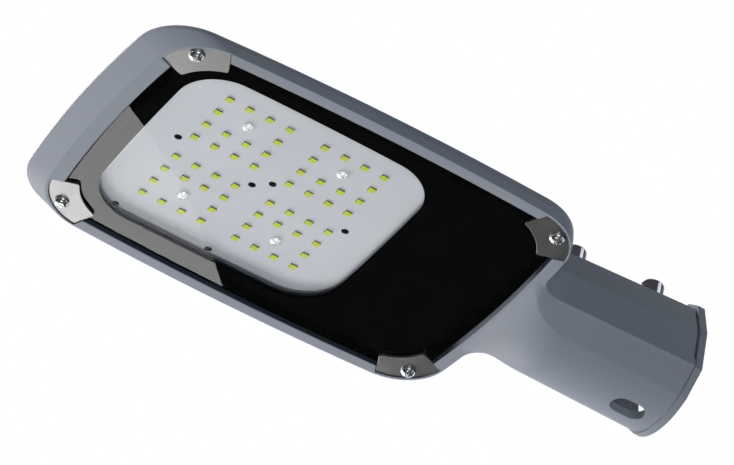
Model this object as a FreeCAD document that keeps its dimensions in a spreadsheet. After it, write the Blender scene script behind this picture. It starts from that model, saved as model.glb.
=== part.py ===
import FreeCAD, Part
import math
import os

import Sketcher

# Road lantern head with a glass-covered LED board, for the end of a horizontal arm.
# Millimetres. +Z is up and the glass faces down. The head reaches out along +X.
# The origin is the centre of the socket mouth, where the arm's pole slides in from -X.
#
# The housing is one die casting: a ruled loft through plan outlines at seven heights makes the
# pan, its sloping roof and the neck. Lofts along X make the socket, which widens and rises
# towards its mouth, the round belly under it and the belly's ramp up to the rim.

SIZES = (
    # Socket and neck
    ("pole_diameter", 60.0, "outside diameter of the arm's pole"),
    ("pole_clearance", 0.3, "radial play between pole and socket"),
    ("socket_depth", 76.0, "how far the pole goes in"),
    ("collar_length", 4.0, "length of the end collar along the pole"),
    ("collar_proud", 0.5, "how far the collar stands out beside the socket"),
    ("collar_edge_proud", 1.2, "and below the lower edge of its sides"),
    ("collar_ridge_proud", 2.5, "and above its ridge"),
    ("collar_top_proud", 1.5, "and above its flat top"),
    ("collar_belly_proud", 1.1, "and below its belly"),
    ("groove_width", 1.5, "groove between collar and the upper socket wall"),
    ("groove_depth", 1.2, "depth of that groove"),
    ("groove_bottom", -12.4, "height where the groove ends"),
    ("mouth_rim_half", 32.1, "half width of the socket's mouth at the rim plane"),
    ("mouth_edge_half", 33.9, "half width of the mouth at the lower edge of its sides"),
    ("mouth_edge_height", -16.4, "height of that edge"),
    ("mouth_flank_half", 33.2, "half width of the mouth at the top of its sides"),
    ("mouth_flank_height", 6.1, "height of that edge"),
    ("mouth_ridge_half", 25.95, "half width of the mouth at the ridge"),
    ("mouth_ridge_height", 24.5, "height of the ridge at the mouth"),
    ("mouth_crown_half", 15.0, "half width of the mouth's flat top"),
    ("mouth_crown_height", 33.2, "height of that flat top"),
    ("neck_rim_half", 31.0, "half width of the neck at the rim plane"),
    ("neck_edge_half", 32.4, "half width of the neck at the lower edge of its sides"),
    ("neck_edge_rise", 0.9, "height of that edge above the rim plane"),
    ("neck_flank_half", 32.7, "half width of the neck at the top of its sides"),
    ("neck_ridge_half", 27.0, "half width of the neck at the ridge"),
    ("neck_crown_half", 11.3, "half width of the neck's flat top"),
    ("belly_depth", 17.3, "underside of the mouth below the rim plane"),
    ("belly_edge_half", 21.9, "half width where the mouth's belly meets its lower facets"),
    ("belly_edge_depth", 10.75, "that edge below the rim plane"),
    ("ramp_depth", 16.7, "underside below the rim plane where the ramp starts"),
    ("ramp_edge_half", 20.5, "half width of the belly there"),
    ("ramp_edge_depth", 10.4, "edge of the belly there, below the rim plane"),
    ("ramp_start", 74.0, "where the belly starts to rise to the rim"),
    ("ramp_length", 30.0, "length of that rise"),
    ("window_width", 13.2, "width of the slot under the socket"),
    ("window_start", 11.5, "near end of that slot"),
    ("window_length", 19.5, "length of that slot"),
    # Heights of the plan outlines
    ("rim_height", -18.0, "rim plane, the lowest face of the pan"),
    ("brow_rise", 5.0, "height of the sloped band at the front"),
    ("wall_rise", 8.4, "height of the upright side wall, where it pivots"),
    ("wall_tilt", 0.4, "degrees by which the top of that wall falls towards the front"),
    ("wall_pivot", 215.0, "where the tilt of the wall's top pivots"),
    ("flank_height", 1.5, "top of the upright sides of the neck"),
    ("ridge_height", 19.0, "ridge of the neck"),
    ("crown_height", 31.9, "flat top of neck and roof"),
    # Plan of the pan
    ("rear_face", 98.2, "rear edge of the pan at the centre line"),
    ("front_face", 351.7, "front edge of the pan at the centre line"),
    ("brow_length", 12.0, "length of the sloped band at the front"),
    ("pan_half_width", 92.0, "half width of the pan"),
    ("wall_lean", 0.4, "how far the side wall leans in"),
    ("widest_point", 212.0, "where the pan is widest"),
    ("side_bow_radius", 1450.0, "radius of the bowed long sides"),
    ("front_bow_radius", 660.0, "radius of the bowed front"),
    ("rear_bow_radius", 700.0, "radius of the bowed rear"),
    ("pan_corner_radius", 30.5, "corner radius of the pan"),
    ("neck_radius", 13.0, "hollow radius between pan and socket"),
    ("roof_front", 190.0, "front end of the flat top"),
    ("roof_rear", 112.0, "rear end of the flat top"),
    ("roof_half_width", 41.0, "half width of the flat top"),
    ("roof_corner_radius", 8.0, "corner radius of the flat top"),
    ("roof_neck_radius", 8.0, "hollow radius at the flat top"),
    # Glass and its opening
    ("opening_front", 331.5, "front edge of the glass opening"),
    ("opening_rear", 104.9, "rear edge of the glass opening"),
    ("rim_side", 7.4, "width of the rim beside the glass opening"),
    ("clip_front", 306.5, "where the front corner cuts leave the long sides"),
    ("clip_rear", 130.0, "where the rear corner cuts leave the long sides"),
    ("clip_inset", 25.1, "corner cuts on the short sides, in from the long sides"),
    ("glass_gap", 1.2, "gap round the glass"),
    ("glass_recess", 2.2, "glass face above the rim plane"),
    ("glass_thickness", 4.0, "toughened glass"),
    ("gasket_thickness", 2.0, "gasket under the glass, pressed"),
    ("gasket_width", 6.0, "width of the gasket band"),
    # Board bay
    ("board_centre", 246.1, "middle of the board along X"),
    ("board_half_length", 78.0, "half length of the board"),
    ("board_margin", 9.3, "from the board's long sides to the glass opening"),
    ("board_corner_radius", 26.0, "corner radius of the board"),
    ("board_thickness", 1.6, "board thickness"),
    ("board_play", 1.0, "gap round the board in its bay"),
    ("board_drop", 4.0, "board face above the glass"),
    ("frame_play", 0.2, "gap between light frame and glass"),
    ("frame_inset", 1.0, "light frame's edge inside the board's edge"),
    ("frame_corner_radius", 36.0, "outer corner radius of the light frame"),
    ("frame_end_bar", 5.2, "width of the frame's bars at the board's ends"),
    ("frame_side_bar", 3.3, "width of the frame's bars along the board's sides"),
    ("led_length", 3.8, "LED along X"),
    ("led_width", 3.4, "LED along Y"),
    ("led_height", 0.8, "LED above the board"),
    ("led_first_column", 10.2, "first LED column from the board's middle"),
    ("led_column_pitch", 11.5, "spacing of LED columns"),
    ("led_first_row", 10.2, "first LED row from the centre line"),
    ("led_row_pitch", 12.57, "spacing of LED rows"),
    ("board_screw_column", 27.4, "board screws from the board's middle"),
    ("board_screw_row", 35.4, "board screws from the centre line"),
    ("board_screw_head", 6.1, "head diameter of a board screw"),
    ("board_screw_rise", 1.9, "head height of a board screw"),
    ("board_screw_shank", 3.0, "shank diameter of a board screw"),
    ("board_screw_length", 6.5, "shank length of a board screw"),
    ("board_hole", 4.1, "diameter of the spare board holes"),
    ("board_hole_near", 3.9, "spare holes at the board's middle"),
    ("board_hole_far", 51.1, "spare holes near the board's ends"),
    ("board_hole_edge", 8.9, "spare holes from the board's long sides"),
    ("fit_play", 0.05, "radial play of a screw in its hole"),
    # Glass clamps
    ("clamp_screw_inset", 24.3, "clamp screw from the corner's centre"),
    ("clamp_centre_front", 305.4, "front corner centre along X"),
    ("clamp_centre_rear", 131.4, "rear corner centre along X"),
    ("clamp_centre_inset", 26.7, "corner centre from the long side of the glass opening"),
    ("clamp_outer_radius", 29.5, "outer arc of a clamp"),
    ("clamp_outer_half", 17.8, "half width of a clamp at its outer arc"),
    ("clamp_inner_reach", 10.2, "inner ends of a clamp from the corner's centre"),
    ("clamp_inner_half", 12.2, "half width of a clamp at its inner edge"),
    ("clamp_inner_radius", 30.0, "hollow radius of the inner edge"),
    ("clamp_corner_radius", 1.6, "rounding of a clamp's corners"),
    ("clamp_thickness", 1.6, "clamp plate"),
    ("clamp_gap", 0.35, "gap round a clamp in its pocket"),
    ("clamp_screw_head", 7.8, "head diameter of a clamp screw"),
    ("clamp_screw_rise", 2.6, "head height of a clamp screw"),
    ("clamp_screw_shank", 4.0, "shank diameter of a clamp screw"),
    ("clamp_screw_length", 9.0, "shank length of a clamp screw"),
    # Driver bay, inside the rear of the pan
    ("bay_rear", 113.5, "rear end of the driver bay at the glass"),
    ("bay_front", 162.0, "front end of the driver bay"),
    ("bay_margin", 11.6, "from the bay's sides to the glass opening"),
    ("bay_height", 22.0, "ceiling of the bay"),
    ("bay_top_rear", 117.0, "rear end of the ceiling"),
    ("bay_top_half_width", 44.5, "half width of the ceiling"),
    ("neck_room_half_width", 20.0, "half width of the room in the neck"),
    ("neck_room_height", 16.0, "ceiling of the room in the neck"),
    ("end_wall", 6.0, "wall between socket and neck room"),
    ("duct_width", 12.0, "wire duct between the bays"),
    ("duct_depth", 4.0, "depth of that duct"),
    # Cooling slots in the roof
    ("slot_width", 6.0, "width of a cooling slot"),
    ("slot_pitch", 9.5, "spacing of the cooling slots"),
    ("slot_start", 196.0, "rear end of the slots"),
    ("slot_end", 322.0, "front end of the slots"),
    ("slot_floor_rear", 12.0, "slot floor height at the rear"),
    ("slot_floor_front", -2.5, "slot floor height at the front"),
    ("slot_count", 13, "number of cooling slots"),
    # Pole bolts
    ("bolt_near", 19.1, "outer pole bolt from the mouth"),
    ("bolt_far", 67.5, "inner pole bolt from the mouth"),
    ("bolt_shank", 8.0, "shank diameter of a pole bolt"),
    ("bolt_head", 13.0, "head diameter of a pole bolt"),
    ("bolt_head_height", 8.0, "head height of a pole bolt"),
    ("bolt_socket", 6.0, "hexagon socket across flats"),
    ("bolt_boss", 13.4, "boss diameter round a pole bolt"),
    ("outer_boss_rise", 7.9, "height of the outer bolt's boss above the flat top"),
    ("inner_boss_rise", 4.8, "height of the inner bolt's boss above the flat top"),
    # Things in the bays
    ("driver_length", 54.0, "LED driver along Y"),
    ("driver_width", 40.0, "LED driver along X"),
    ("driver_depth", 22.0, "LED driver height"),
    ("driver_shift", -7.5, "middle of the driver from the centre line"),
    ("driver_ear", 9.0, "reach of a driver's fixing ear"),
    ("driver_ear_thickness", 2.0, "thickness of that ear"),
    ("driver_screw_shank", 4.0, "shank diameter of a driver screw"),
    ("terminal_length", 28.0, "terminal block along X"),
    ("terminal_width", 13.0, "terminal block along Y"),
    ("terminal_depth", 14.0, "terminal block height"),
    ("terminal_shift", 37.5, "terminal block from the centre line"),
    ("gland_height", 3.0, "middle of the cable gland"),
    ("gland_thread", 16.0, "thread diameter of the cable gland"),
    ("gland_hex", 20.0, "hexagon of the gland across flats"),
    ("gland_hex_length", 5.0, "length of that hexagon"),
    ("gland_cap_length", 12.0, "length of the gland's cap"),
    ("gland_bore", 9.0, "cable hole through the gland"),
)

doc = FreeCAD.newDocument("road_lantern_head")
sheet = doc.addObject("Spreadsheet::Sheet", "Sheet")


class Size:
    """A length that carries its number and the sheet expression that keeps it live."""

    def __init__(self, text, number):
        self.text = text
        self.number = float(number)

    def __add__(self, other):
        other = as_size(other)
        return Size("(%s + %s)" % (self.text, other.text), self.number + other.number)

    def __radd__(self, other):
        return as_size(other) + self

    def __sub__(self, other):
        other = as_size(other)
        return Size("(%s - %s)" % (self.text, other.text), self.number - other.number)

    def __rsub__(self, other):
        return as_size(other) - self

    def __mul__(self, other):
        other = as_size(other)
        return Size("(%s * %s)" % (self.text, other.text), self.number * other.number)

    def __rmul__(self, other):
        return as_size(other) * self

    def __truediv__(self, other):
        other = as_size(other)
        return Size("(%s / %s)" % (self.text, other.text), self.number / other.number)

    def __neg__(self):
        return as_size(0) - self

    def root(self):
        return Size("sqrt(%s)" % self.text, math.sqrt(self.number))


def as_size(value):
    return value if isinstance(value, Size) else Size("%.6f" % value, value)


class Sheet:
    """Every driving size by its name."""


def fill_sheet():
    for row, (name, number, meaning) in enumerate(SIZES, start=1):
        sheet.set("A%d" % row, meaning)
        sheet.set("B%d" % row, str(number))
        sheet.setAlias("B%d" % row, name)
        setattr(Sheet, name, Size("Sheet." + name, number))


fill_sheet()
doc.recompute()
D = Sheet

# Sketch helpers


def new_body(name):
    body = doc.addObject("PartDesign::Body", name)
    body.Label = name
    return body


def new_sketch(body, role, offset=0, tilt=0):
    """A sketch on one of the body's own origin planes, moved along the plane's normal and
    turned by a tilt in degrees about its own Y axis."""
    sketch = body.newObject("Sketcher::SketchObject", body.Name + "_sketch")
    plane = [item for item in body.Origin.OriginFeatures if item.Role == role][0]
    sketch.AttachmentSupport = [(plane, "")]
    sketch.MapMode = "FlatFace"
    offset, tilt = as_size(offset), as_size(tilt)
    turn = FreeCAD.Rotation(FreeCAD.Vector(0, 1, 0), tilt.number)
    sketch.AttachmentOffset = FreeCAD.Placement(FreeCAD.Vector(0, 0, offset.number), turn)
    sketch.setExpression("AttachmentOffset.Base.z", offset.text)
    if tilt.number:
        sketch.setExpression("AttachmentOffset.Rotation.Angle", tilt.text)
    return sketch


def dimension(sketch, kind, *where):
    """Adds a dimension whose last argument is a Size, and binds it to the sheet."""
    size = as_size(where[-1])
    index = sketch.addConstraint(Sketcher.Constraint(kind, *where[:-1], size.number))
    sketch.setExpression("Constraints[%d]" % index, size.text)


def pin(sketch, geometry, position, x, y):
    """Fixes a point of a sketch element at x, y from the sketch's origin."""
    if x is not None:
        if as_size(x).number == 0:
            sketch.addConstraint(Sketcher.Constraint("PointOnObject", geometry, position, -2))
        else:
            dimension(sketch, "DistanceX", -1, 1, geometry, position, x)
    if y is not None:
        if as_size(y).number == 0:
            sketch.addConstraint(Sketcher.Constraint("PointOnObject", geometry, position, -1))
        else:
            dimension(sketch, "DistanceY", -1, 1, geometry, position, y)


def circle(sketch, x, y, diameter):
    x, y, diameter = as_size(x), as_size(y), as_size(diameter)
    centre = FreeCAD.Vector(x.number, y.number, 0)
    ring = Part.Circle(centre, FreeCAD.Vector(0, 0, 1), diameter.number / 2)
    geometry = sketch.addGeometry(ring, False)
    pin(sketch, geometry, 3, x, y)
    dimension(sketch, "Radius", geometry, diameter / 2)


class Edge:
    """One edge of a closed loop. A start of two Sizes is fixed there. A start of two plain
    numbers is a first guess, and the edge runs on smoothly from the one before it."""

    def __init__(self, start, radius=None, turn=1, centre=None, level=False):
        self.start = start
        self.smooth = not isinstance(start[0], Size)
        self.point = [as_size(part).number for part in start]
        self.radius = radius
        self.turn = turn
        self.centre = centre
        self.level = level
        self.geometry = None
        self.first, self.last = (1, 2) if turn > 0 or radius is None else (2, 1)


def arc_between(start, end, radius, turn):
    """The short arc from start to end: turn is 1 for counter-clockwise and -1 for clockwise."""
    across = math.dist(start, end)
    middle = [(start[0] + end[0]) / 2, (start[1] + end[1]) / 2]
    height = math.sqrt(max(radius ** 2 - across ** 2 / 4, 0))
    left = [-(end[1] - start[1]) / across, (end[0] - start[0]) / across]
    centre = FreeCAD.Vector(middle[0] + turn * height * left[0],
                            middle[1] + turn * height * left[1], 0)
    ring = Part.Circle(centre, FreeCAD.Vector(0, 0, 1), radius)
    ends = (start, end) if turn > 0 else (end, start)
    angles = [math.atan2(point[1] - centre.y, point[0] - centre.x) for point in ends]
    if angles[1] < angles[0]:
        angles[1] += 2 * math.pi
    return Part.ArcOfCircle(ring, *angles)


def closed_loop(sketch, edges):
    """Draws the edges one after another and closes the last onto the first."""
    following = edges[1:] + edges[:1]
    for edge, after in zip(edges, following):
        if edge.radius is None:
            start = FreeCAD.Vector(*edge.point, 0)
            end = FreeCAD.Vector(*after.point, 0)
            shape = Part.LineSegment(start, end)
        else:
            shape = arc_between(edge.point, after.point, as_size(edge.radius).number, edge.turn)
        edge.geometry = sketch.addGeometry(shape, False)
    for edge, after in zip(edges, following):
        kind = "Tangent" if after.smooth else "Coincident"
        sketch.addConstraint(Sketcher.Constraint(kind, edge.geometry, edge.last,
                                                 after.geometry, after.first))
    for edge in edges:
        if not edge.smooth:
            pin(sketch, edge.geometry, edge.first, *edge.start)
        if edge.radius is not None:
            dimension(sketch, "Radius", edge.geometry, edge.radius)
        if edge.centre is not None:
            pin(sketch, edge.geometry, 3, *edge.centre)
        if edge.level:
            sketch.addConstraint(Sketcher.Constraint("Horizontal", edge.geometry))


def polygon(sketch, points):
    closed_loop(sketch, [Edge((as_size(x), as_size(y))) for x, y in points])


def rectangle(sketch, x0, x1, y0, y1):
    polygon(sketch, [(x0, y0), (x1, y0), (x1, y1), (x0, y1)])


def rounded_rectangle(sketch, middle_x, middle_y, half_x, half_y, radius):
    """Corners are quarter arcs, so each side's ends are known from the sizes."""
    edges = []
    for sign_x, sign_y, along_first in ((1, -1, False), (1, 1, True), (-1, 1, False), (-1, -1, True)):
        near_x = middle_x + sign_x * (half_x - radius)
        near_y = middle_y + sign_y * (half_y - radius)
        far_x = middle_x + sign_x * half_x
        far_y = middle_y + sign_y * half_y
        ends = [(near_x, far_y), (far_x, near_y)]
        if along_first:
            ends.reverse()
        edges.append(Edge(ends[0], radius=radius))
        edges.append(Edge(ends[1]))
    closed_loop(sketch, edges)


def slot_outline(sketch, x0, x1, half_width):
    """A slot along X about the X axis, with round ends."""
    near = (x0 + half_width, as_size(0))
    far = (x1 - half_width, as_size(0))
    half = half_width.number
    closed_loop(sketch, [
        Edge((near[0].number, -half)),
        Edge((far[0].number, -half), radius=half_width, centre=far),
        Edge((far[0].number, half)),
        Edge((near[0].number, half), radius=half_width, centre=near),
    ])


def hexagon(sketch, x, y, across_flats):
    corner = across_flats / math.sqrt(3)
    points = []
    for step in range(6):
        angle = math.radians(60 * step)
        points.append((x + corner * math.cos(angle), y + corner * math.sin(angle)))
    polygon(sketch, points)


# Feature helpers


def pad(body, sketch, length, reverse=False):
    feature = body.newObject("PartDesign::Pad", body.Name + "_pad")
    feature.Profile = sketch
    feature.Reversed = reverse
    feature.setExpression("Length", as_size(length).text)
    body.Tip = feature
    return feature


def pocket(body, sketch, length, along_normal=True):
    """Cuts from the sketch along its normal, or against it."""
    feature = body.newObject("PartDesign::Pocket", body.Name + "_cut")
    feature.Profile = sketch
    feature.Reversed = along_normal
    feature.setExpression("Length", as_size(length).text)
    body.Tip = feature
    return feature


def loft(body, sketches, kind="Additive", ruled=True):
    feature = body.newObject("PartDesign::%sLoft" % kind, body.Name + "_loft")
    feature.Profile = sketches[0]
    feature.Sections = sketches[1:]
    feature.Ruled = ruled
    body.Tip = feature
    return feature


def turned(body, points):
    """A solid of revolution about Z from a half profile of radius and height pairs."""
    sketch = new_sketch(body, "XZ_Plane")
    polygon(sketch, points)
    feature = body.newObject("PartDesign::Revolution", body.Name + "_turned")
    feature.Profile = sketch
    feature.ReferenceAxis = (sketch, ["V_Axis"])
    feature.Angle = 360
    body.Tip = feature
    return feature


def round_edges(body, radius, wanted):
    """Rounds the edges of the body's tip for which wanted(edge) is true."""
    doc.recompute()
    base = body.Tip
    names = ["Edge%d" % (index + 1) for index, edge in enumerate(base.Shape.Edges) if wanted(edge)]
    feature = body.newObject("PartDesign::Fillet", body.Name + "_round")
    feature.Base = (base, names)
    feature.setExpression("Radius", as_size(radius).text)
    body.Tip = feature
    return feature


def upright(edge):
    box = edge.BoundBox
    return box.ZLength > 0.5 and box.XLength < 0.01 and box.YLength < 0.01


# Heights that several pieces share

WALL_HEIGHT = D.rim_height + D.wall_rise
GLASS_FACE = D.rim_height + D.glass_recess
GLASS_BACK = GLASS_FACE + D.glass_thickness
SEAT_HEIGHT = GLASS_BACK + D.gasket_thickness
BOARD_FACE = GLASS_BACK + D.board_drop
BOARD_BACK = BOARD_FACE + D.board_thickness
CLAMP_FACE = GLASS_FACE - D.clamp_thickness
RAMP_STEPS = 6
RAMP_END_DEPTH = 0.01
HOLLOW_SHARE = 0.9
SOCKET_BORE = D.pole_diameter + 2 * D.pole_clearance
NECK_ROOM_START = D.socket_depth + D.end_wall
OPENING_HALF = D.pan_half_width - D.rim_side
CLIP_HALF = OPENING_HALF - D.clip_inset
BOARD_HALF = OPENING_HALF - D.board_margin
FRAME_HALF_LENGTH = D.board_half_length - D.frame_inset
FRAME_HALF_WIDTH = BOARD_HALF - D.frame_inset
SLEEVE_OVERLAP = 6
PLAN_START = D.collar_length + 2
ABOVE_ALL = D.crown_height + 20
POLE_BOLTS = (("pole_bolt_outer", D.bolt_near, D.crown_height + D.outer_boss_rise),
              ("pole_bolt_inner", D.bolt_far, D.crown_height + D.inner_boss_rise))

CORNERS = ((1, 1, "front_left"), (1, -1, "front_right"), (-1, 1, "rear_left"),
           (-1, -1, "rear_right"))


def meeting_point(first, reach, second, other_reach, near):
    """Where two circles cross, on the side nearest to a given point."""
    apart = math.dist(first, second)
    along = (apart ** 2 + reach ** 2 - other_reach ** 2) / (2 * apart)
    across = math.sqrt(max(reach ** 2 - along ** 2, 0))
    unit = [(second[0] - first[0]) / apart, (second[1] - first[1]) / apart]
    foot = [first[0] + along * unit[0], first[1] + along * unit[1]]
    choices = [(foot[0] - side * across * unit[1], foot[1] + side * across * unit[0])
               for side in (1, -1)]
    return min(choices, key=lambda point: math.dist(point, near))


def point_towards(centre, radius, target):
    """The point of a circle on the line from its centre through the target."""
    apart = math.dist(centre, target)
    return (centre[0] + radius * (target[0] - centre[0]) / apart,
            centre[1] + radius * (target[1] - centre[1]) / apart)


def hollow_centre_x(rear, neck, socket_half):
    """Where the hollow corner between the neck and the pan's bowed rear has its centre."""
    reach = D.rear_bow_radius + neck
    off = socket_half + neck
    return rear + D.rear_bow_radius - (reach * reach - off * off).root()


NECK_START = hollow_centre_x(D.rear_face, D.neck_radius, D.neck_rim_half)


def from_mouth_to_neck(mouth, neck, x):
    """A size that changes evenly along X from the socket's mouth to the start of the neck."""
    return mouth + (neck - mouth) * (x - D.collar_length) / (NECK_START - D.collar_length)


def plan_outline(sketch, front, rear, half, corner, neck, socket_half):
    """Pan, neck and the socket's core in one closed outline, symmetric about the X axis."""
    front_centre = (front - D.front_bow_radius, as_size(0))
    rear_centre = (rear + D.rear_bow_radius, as_size(0))
    side_centre = (D.widest_point, D.side_bow_radius - half)
    front_at = (front_centre[0].number, 0.0)
    rear_at = (rear_centre[0].number, 0.0)
    side_at = (side_centre[0].number, side_centre[1].number)
    bow = [size.number for size in (D.front_bow_radius, D.rear_bow_radius, D.side_bow_radius)]
    corner_front = meeting_point(front_at, bow[0] - corner.number, side_at, bow[2] - corner.number,
                                 (front.number, -half.number))
    corner_rear = meeting_point(rear_at, bow[1] - corner.number, side_at, bow[2] - corner.number,
                                (rear.number, -half.number))
    hollow = (hollow_centre_x(rear, neck, socket_half).number, -(socket_half + neck).number)
    joints = [
        (hollow[0], -socket_half.number),
        point_towards(rear_at, bow[1], hollow),
        point_towards(rear_at, bow[1], corner_rear),
        point_towards(side_at, bow[2], corner_rear),
        point_towards(side_at, bow[2], corner_front),
        point_towards(front_at, bow[0], corner_front),
    ]
    mirrored = [(x, -y) for x, y in reversed(joints)]
    upper_side_centre = (D.widest_point, half - D.side_bow_radius)
    closed_loop(sketch, [
        Edge((PLAN_START, -socket_half), level=True),
        Edge(joints[0], radius=neck, turn=-1),
        Edge(joints[1], radius=D.rear_bow_radius, centre=rear_centre),
        Edge(joints[2], radius=corner),
        Edge(joints[3], radius=D.side_bow_radius, centre=side_centre),
        Edge(joints[4], radius=corner),
        Edge(joints[5], radius=D.front_bow_radius, centre=front_centre),
        Edge(mirrored[0], radius=corner),
        Edge(mirrored[1], radius=D.side_bow_radius, centre=upper_side_centre),
        Edge(mirrored[2], radius=corner),
        Edge(mirrored[3], radius=D.rear_bow_radius, centre=rear_centre),
        Edge(mirrored[4], radius=neck, turn=-1),
        Edge(mirrored[5], level=True),
        Edge((PLAN_START, as_size(socket_half))),
    ])


def opening_outline(sketch, inset):
    """The glass opening, inset all round: bowed sides and cut corners."""
    front = D.opening_front - inset
    rear = D.opening_rear + inset
    half = OPENING_HALF - inset
    clip = inset * 0.414
    clip_y = CLIP_HALF - clip
    clip_front = D.clip_front - clip
    clip_rear = D.clip_rear + clip
    front_bow = D.front_bow_radius - inset
    rear_bow = D.rear_bow_radius - inset
    side_bow = D.side_bow_radius - inset

    def sag(bow, off):
        return bow - (bow * bow - off * off).root()

    front_x = front - sag(front_bow, clip_y)
    rear_x = rear + sag(rear_bow, clip_y)
    side_front = half - sag(side_bow, clip_front - D.widest_point)
    side_rear = half - sag(side_bow, clip_rear - D.widest_point)
    closed_loop(sketch, [
        Edge((rear_x, as_size(-clip_y))),
        Edge((clip_rear, -side_rear), radius=side_bow),
        Edge((clip_front, -side_front)),
        Edge((front_x, as_size(-clip_y)), radius=front_bow),
        Edge((front_x, as_size(clip_y))),
        Edge((clip_front, as_size(side_front)), radius=side_bow),
        Edge((clip_rear, as_size(side_rear))),
        Edge((rear_x, as_size(clip_y)), radius=rear_bow),
    ])


def corner_centre(sign_x, sign_y):
    return (D.clamp_centre_front if sign_x > 0 else D.clamp_centre_rear,
            (OPENING_HALF - D.clamp_centre_inset) * sign_y)


def clamp_outline(sketch, sign_x, sign_y, grow):
    """A clamp plate seen from below: outer arc about the corner's centre, hollow inner edge."""
    centre_x, centre_y = corner_centre(sign_x, sign_y)
    diagonal = math.sqrt(0.5)

    def at(outward, sideways):
        return (centre_x + (outward + sideways) * diagonal * sign_x,
                centre_y + (outward - sideways) * diagonal * sign_y)

    outer = D.clamp_outer_radius + grow
    outer_half = D.clamp_outer_half + grow
    outer_reach = (outer * outer - outer_half * outer_half).root()
    inner_half = D.clamp_inner_half + grow
    inner_reach = D.clamp_inner_reach - grow
    turn = sign_x * sign_y
    closed_loop(sketch, [
        Edge(at(outer_reach, outer_half), radius=outer, turn=turn),
        Edge(at(outer_reach, -outer_half)),
        Edge(at(inner_reach, -inner_half), radius=D.clamp_inner_radius, turn=-turn),
        Edge(at(inner_reach, inner_half)),
    ])


def clamp_screw_point(sign_x, sign_y):
    centre_x, centre_y = corner_centre(sign_x, sign_y)
    step = D.clamp_screw_inset * math.sqrt(0.5)
    return centre_x + step * sign_x, centre_y + step * sign_y


# Housing


def housing_upper_form(body):
    """Pan, roof, neck and socket sides: plan outlines from the rim plane to the crown."""
    rise = D.crown_height - WALL_HEIGHT

    def part_way(low, high, height):
        return low + (high - low) * (height - WALL_HEIGHT) / rise

    wall_half = D.pan_half_width - D.wall_lean
    wall_front = D.front_face - D.wall_lean
    wall_rear = D.rear_face + D.wall_lean
    rim_front = D.front_face - D.brow_length

    edge_share = D.neck_edge_rise / D.brow_rise
    low_levels = (
        (D.rim_height, rim_front, wall_half, D.neck_rim_half),
        (D.rim_height + D.neck_edge_rise, rim_front + D.brow_length * edge_share,
         wall_half + D.wall_lean * edge_share, D.neck_edge_half),
        (D.rim_height + D.brow_rise, D.front_face, D.pan_half_width, D.neck_edge_half),
    )
    sketches = []
    for height, front, half, socket_half in low_levels:
        sketch = new_sketch(body, "XY_Plane", height)
        plan_outline(sketch, front, D.rear_face, half, D.pan_corner_radius, D.neck_radius,
                     socket_half)
        sketches.append(sketch)

    drop = D.wall_pivot * math.tan(math.radians(D.wall_tilt.number))
    wall_top = new_sketch(body, "XY_Plane", WALL_HEIGHT + drop, tilt=D.wall_tilt)
    plan_outline(wall_top, wall_front, wall_rear, wall_half, D.pan_corner_radius, D.neck_radius,
                 (D.neck_edge_half + D.neck_flank_half) / 2)
    sketches.append(wall_top)

    high_levels = (
        (D.flank_height, D.neck_flank_half),
        (D.ridge_height, D.neck_ridge_half),
        (D.crown_height, D.neck_crown_half),
    )
    for height, socket_half in high_levels:
        sketch = new_sketch(body, "XY_Plane", height)
        plan_outline(sketch, part_way(wall_front, D.roof_front, height),
                     part_way(wall_rear, D.roof_rear, height),
                     part_way(wall_half, D.roof_half_width, height),
                     part_way(D.pan_corner_radius, D.roof_corner_radius, height),
                     part_way(D.neck_radius, D.roof_neck_radius, height),
                     socket_half)
        sketches.append(sketch)
    loft(body, sketches)


def housing_sleeve(body):
    """The socket's sides and top, which widen and rise from the neck to the mouth. The far
    section runs on into the neck, so that the two forms cross cleanly."""
    corners = (
        (D.mouth_rim_half, D.rim_height, D.neck_rim_half, D.rim_height),
        (D.mouth_edge_half, D.mouth_edge_height, D.neck_edge_half,
         D.rim_height + D.neck_edge_rise),
        (D.mouth_flank_half, D.mouth_flank_height, D.neck_flank_half, D.flank_height),
        (D.mouth_ridge_half, D.mouth_ridge_height, D.neck_ridge_half, D.ridge_height),
        (D.mouth_crown_half, D.mouth_crown_height, D.neck_crown_half, D.crown_height),
    )
    sections = []
    for x in (D.collar_length, NECK_START + SLEEVE_OVERLAP):
        side = [(from_mouth_to_neck(mouth_half, neck_half, x),
                 from_mouth_to_neck(mouth_height, neck_height, x))
                for mouth_half, mouth_height, neck_half, neck_height in corners]
        section = new_sketch(body, "YZ_Plane", x)
        polygon(section, side + [(-y, z) for y, z in side[::-1]])
        sections.append(section)
    loft(body, sections)


def belly_section(sketch, half, edge_half, edge_height, bottom):
    """Cross-section under the rim plane: two facets and an arc between them."""
    sag = edge_height - bottom
    radius = (edge_half * edge_half + sag * sag) / (2 * sag)
    closed_loop(sketch, [
        Edge((-half, D.rim_height)),
        Edge((-edge_half, edge_height), radius=radius),
        Edge((as_size(edge_half), edge_height)),
        Edge((as_size(half), D.rim_height)),
    ])


def neck_half_width(x):
    """Half width of the neck at the rim plane: tapered, then along the hollow corner."""
    along = x - NECK_START
    if along.number <= 0:
        return from_mouth_to_neck(D.mouth_rim_half, D.neck_rim_half, x)
    if along.number > D.neck_radius.number * HOLLOW_SHARE:
        along = D.neck_radius * HOLLOW_SHARE
    hollow = D.neck_radius - (D.neck_radius * D.neck_radius - along * along).root()
    return D.neck_rim_half + hollow * HOLLOW_SHARE


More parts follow.
